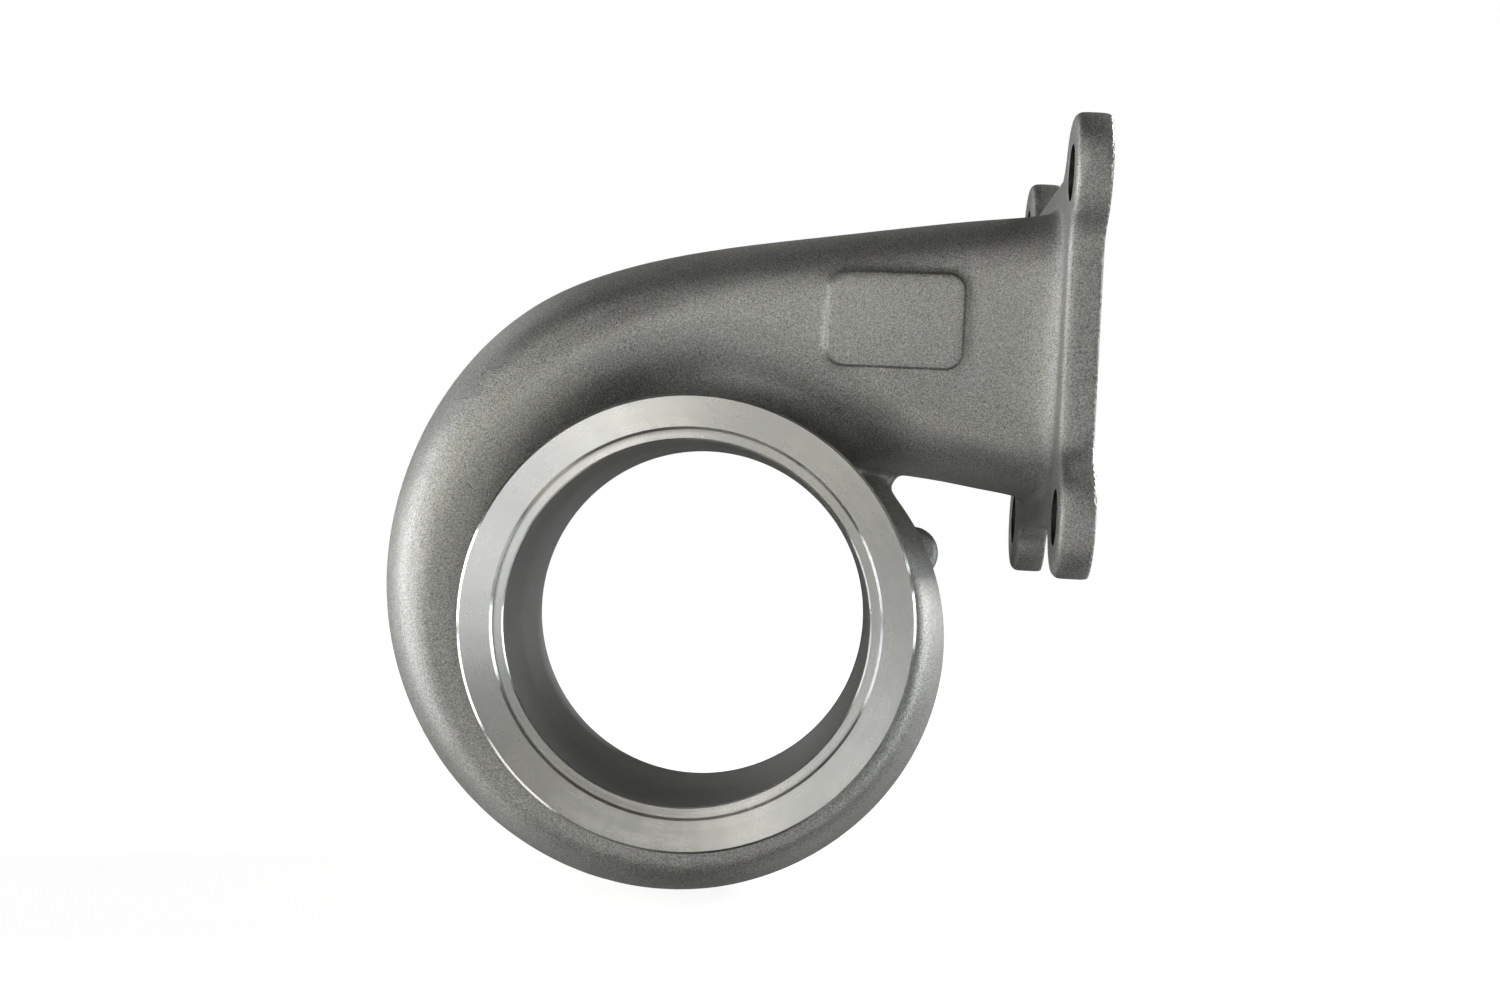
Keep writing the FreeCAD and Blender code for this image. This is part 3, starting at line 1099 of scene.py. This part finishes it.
@dataclass
class PhotoCamera:
    """Camera at the photograph's place, worked out from where the turbine axis shows in it."""

    width_px: float = 1500.0
    height_px: float = 1001.0
    focal_px: float = 2288.0
    axis_vanishes_px: tuple[float, float] = (818.0, 530.5)
    outlet_offset: tuple[float, float, float] = (-0.0126, 0.02406, 0.4475)
    roll_deg: float = 3.0
    sensor_mm: float = 36.0
    clip_start: float = 0.01

    def build(self) -> bpy.types.Object:
        """Builds the camera and makes it the scene's own.

        Returns:
            The camera.
        """
        roll = math.radians(self.roll_deg)
        along = Vector(((self.axis_vanishes_px[0] - self.width_px / 2) / self.focal_px,
                        (self.axis_vanishes_px[1] - self.height_px / 2) / self.focal_px, 1)).normalized()
        lean = Vector((math.sin(roll), -math.cos(roll), 0))
        up = (lean - along * along.dot(lean)).normalized()
        right = along.cross(up)
        part = Matrix((right, along, up))
        turn = part @ Matrix(((1, 0, 0), (0, -1, 0), (0, 0, -1)))
        place = part @ -Vector(self.outlet_offset)
        data = bpy.data.cameras.new("photo_camera")
        data.sensor_width = self.sensor_mm
        data.lens = self.focal_px / self.width_px * self.sensor_mm
        data.clip_start = self.clip_start
        camera = add_object("photo_camera", data)
        camera.matrix_world = Matrix.Translation(place) @ turn.to_4x4()
        bpy.context.scene.camera = camera
        return camera


@dataclass(frozen=True)
class Softbox:
    """One square soft light on a sphere round the object."""

    azimuth_deg: float
    elevation_deg: float
    watts: float
    tint: tuple[float, float, float] = (1.0, 1.0, 1.0)

    def direction(self) -> Vector:
        """Finds the way from the object to the light; azimuth 0 is in front, 90 on the inlet's side.

        Returns:
            The direction, one long.
        """
        azimuth, elevation = math.radians(self.azimuth_deg), math.radians(self.elevation_deg)
        return Vector((math.sin(azimuth) * math.cos(elevation),
                       -math.cos(azimuth) * math.cos(elevation), math.sin(elevation)))

    def build(self, centre: Vector, distance: float, size: float) -> None:
        """Hangs the light.

        Args:
            centre: what it faces.
            distance: how far away it hangs.
            size: its edge.
        """
        data = bpy.data.lights.new("softbox", "AREA")
        data.size = size
        data.energy = self.watts
        data.color = self.tint
        lamp = add_object("softbox", data)
        lamp.location = centre + self.direction() * distance
        lamp.rotation_euler = (-self.direction()).to_track_quat("-Z", "Y").to_euler()


@dataclass
class Studio:
    """Pale floor, white surround and soft lights."""

    floor_gap: float = 0.0006
    floor_radius: float = 3.0
    floor_segments: int = 96
    floor_tone: float = 0.5
    floor_roughness: float = 0.9
    floor_glow: float = 0.85
    floor_fade: Span = (0.12, 0.5)
    dome_radius: float = 6.0
    dome_segments: int = 48
    dome_rings: int = 24
    surround: float = 0.030
    light_centre: tuple[float, float, float] = (0.0, 0.04, 0.02)
    light_distance: float = 1.1
    light_size: float = 0.42
    softboxes: tuple[Softbox, ...] = (
        Softbox(110, 30, 10.85, (1.01, 1.00, 0.99)), Softbox(-100, 5, 3.11, (1.00, 1.01, 0.99)),
        Softbox(-90, -20, 2.44, (0.99, 0.99, 1.02)), Softbox(80, 5, 2.41, (0.95, 1.02, 1.03)),
        Softbox(-60, 5, 1.63, (1.05, 1.08, 0.86)), Softbox(-15, 30, 1.35, (1.02, 1.01, 0.97)),
        Softbox(-20, -45, 1.20, (1.01, 1.01, 0.97)), Softbox(-100, -45, 0.91, (1.02, 1.03, 0.95)),
        Softbox(60, -20, 0.78, (0.91, 1.03, 1.06)), Softbox(-80, 5, 0.77, (0.85, 0.84, 1.14)),
        Softbox(-140, 30, 0.66, (0.99, 1.00, 1.01)), Softbox(120, 5, 0.48, (0.93, 0.97, 1.11)),
        Softbox(140, -45, 0.47, (1.00, 1.01, 0.99)), Softbox(-20, 5, 0.46, (0.96, 0.99, 1.06)),
        Softbox(10, -20, 0.42, (1.02, 1.01, 0.96)), Softbox(140, 5, 0.39, (1.02, 1.04, 0.93)),
        Softbox(60, -45, 0.37, (1.12, 1.01, 0.86)), Softbox(0, 5, 0.36, (1.02, 1.02, 0.95)),
        Softbox(135, -20, 0.33, (0.96, 0.99, 1.05)), Softbox(35, -20, 0.28, (1.03, 0.99, 0.98)),
        Softbox(-140, -45, 0.24, (0.99, 1.01, 1.00)), Softbox(-120, 5, 0.11, (1.05, 1.05, 0.90)),
    )

    def _floor(self) -> bpy.types.Object:
        """Makes a pale floor that glows a little less round the object, so that its shadow shows.

        Returns:
            The floor.
        """
        shader = Shader("floor_white")
        x, y, _ = shader.axes(shader.place())
        away = ((x * x + y * y) ** 0.5).step(*self.floor_fade)
        glow = shader.blend(away, (self.floor_glow,) * 3 + (1.0,), (1.0,) * 4)
        shader.dress(Base_Color=(self.floor_tone,) * 3 + (1.0,), Roughness=self.floor_roughness,
                     Specular_IOR_Level=0.0, Emission_Color=glow, Emission_Strength=1.0)
        bm = bmesh.new()
        bmesh.ops.create_circle(bm, cap_ends=True, segments=self.floor_segments, radius=self.floor_radius)
        bmesh.ops.translate(bm, vec=(0, 0, CAD_BOX[0][2] - self.floor_gap), verts=bm.verts)
        name = Stage.FLOOR.value
        return add_object(name, mesh_from(bm, name, [shader.material]))

    def _dome(self) -> bpy.types.Object:
        """Makes a white surround behind everything.

        Returns:
            The dome.
        """
        shader = Shader("dome_white")
        shader.dress(Base_Color=(0, 0, 0, 1), Specular_IOR_Level=0.0,
                     Emission_Color=(1, 1, 1, 1), Emission_Strength=1.0)
        bm = bmesh.new()
        bmesh.ops.create_uvsphere(bm, u_segments=self.dome_segments, v_segments=self.dome_rings,
                                  radius=self.dome_radius)
        name = Stage.DOME.value
        return add_object(name, mesh_from(bm, name, [shader.material]))

    def build(self) -> None:
        """Builds the stage and the lights."""
        pieces = (self._floor(), self._dome())
        for piece in pieces:
            piece.visible_diffuse = False
            piece.visible_glossy = False
            piece.visible_transmission = False
            piece.visible_shadow = False
        world = bpy.data.worlds.new("surround")
        world.use_nodes = True
        back = world.node_tree.nodes["Background"]
        back.inputs[0].default_value = (1, 1, 1, 1)
        back.inputs[1].default_value = self.surround
        bpy.context.scene.world = world
        for softbox in self.softboxes:
            softbox.build(Vector(self.light_centre), self.light_distance, self.light_size)


def main() -> None:
    """Builds the camera, the stage and the pieces in order."""
    logging.basicConfig(level=logging.INFO, format="%(name)s %(message)s")
    bpy.context.scene.view_settings.view_transform = "Standard"
    PhotoCamera().build()
    Studio().build()
    sizes = HousingSizes()
    finishes = build_finishes()
    for maker in (Casting(sizes, finishes), ClampRim(sizes, finishes)):
        piece = maker.build()
        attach(piece, "root")
        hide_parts(NODE)
        log.info("%s: %d faces", piece.name, len(piece.data.polygons))


if __name__ == "__main__":
    main()
